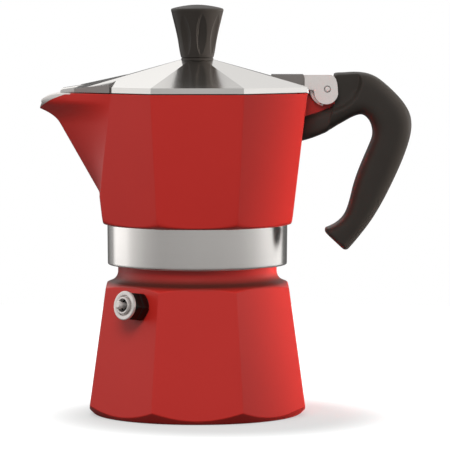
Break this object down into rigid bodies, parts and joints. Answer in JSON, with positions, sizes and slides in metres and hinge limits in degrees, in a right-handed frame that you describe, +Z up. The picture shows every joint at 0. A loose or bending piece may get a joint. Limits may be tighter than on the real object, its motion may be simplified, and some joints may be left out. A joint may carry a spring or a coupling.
{
  "type": "moka pot",
  "caption": "Stovetop moka pot with faceted red boiler, funnel, screwed upper chamber with spout, hinged lid, black handle and knob.",
  "frame": {"origin": "centre of the flat face that the boiler stands on", "axes": "+Z up along the pot's axis, +X towards the handle, -X towards the spout"},
  "size_m": [0.1488, 0.0884, 0.1635],
  "materials": {
    "red_paint": "satin enamel on cast aluminium",
    "polished_aluminium": "polished",
    "spun_aluminium": "satin",
    "bright_steel": "polished",
    "dark_steel": "blackened",
    "spring_steel": "drawn",
    "brass": "turned",
    "black_plastic": "satin moulded",
    "black_rubber": "matte",
    "white_rubber": "matte"
  },
  "bodies": {
    "boiler": {"boiler": "red_paint", "valve_washer": "black_rubber", "valve_body": "dark_steel", "valve_retainer": "bright_steel", "valve_spring": "spring_steel"},
    "valve_poppet": {"valve_stem": "bright_steel", "valve_seal": "white_rubber"},
    "funnel": {"funnel": "spun_aluminium", "funnel_plate": "spun_aluminium"},
    "seal_set": {"gasket": "white_rubber", "filter_plate": "spun_aluminium"},
    "collector": {"collector": "red_paint", "column": "spun_aluminium", "handle": "black_plastic", "handle_screw": "spring_steel", "hinge_pin": "bright_steel"},
    "lid": {"lid": "polished_aluminium", "knob": "black_plastic", "knob_insert": "brass", "knob_washer": "spring_steel", "knob_screw": "spring_steel"}
  },
  "joints": [
    {"name": "valve_lift", "type": "slide", "parent": "boiler", "child": "valve_poppet", "axis": [-0.7006, -0.7006, 0.1355], "range_m": [0, 0.0015], "stiffness_N_per_m": 300, "springref_m": -0.003, "deforming": ["valve_spring"]},
    {"name": "funnel_lift", "type": "slide", "parent": "boiler", "child": "funnel", "axis": [0, 0, 1], "range_m": [0, 0.075]},
    {"name": "collector_rise", "type": "slide", "parent": "funnel", "child": "seal_set", "axis": [0, 0, 1], "range_m": [0, 0.007]},
    {"name": "collector_unscrew", "type": "hinge", "parent": "seal_set", "child": "collector", "pos_m": [0, 0, 0.0598], "axis": [0, 0, 1], "range_deg": [0, 720]},
    {"name": "lid_hinge", "type": "hinge", "parent": "collector", "child": "lid", "pos_m": [0.0517, 0, 0.13], "axis": [0, 1, 0], "range_deg": [0, 100]}
  ],
  "couplings": [
    {"joint": "collector_rise", "follows": "collector_unscrew", "m_per_rad": 0.00055704}
  ]
}
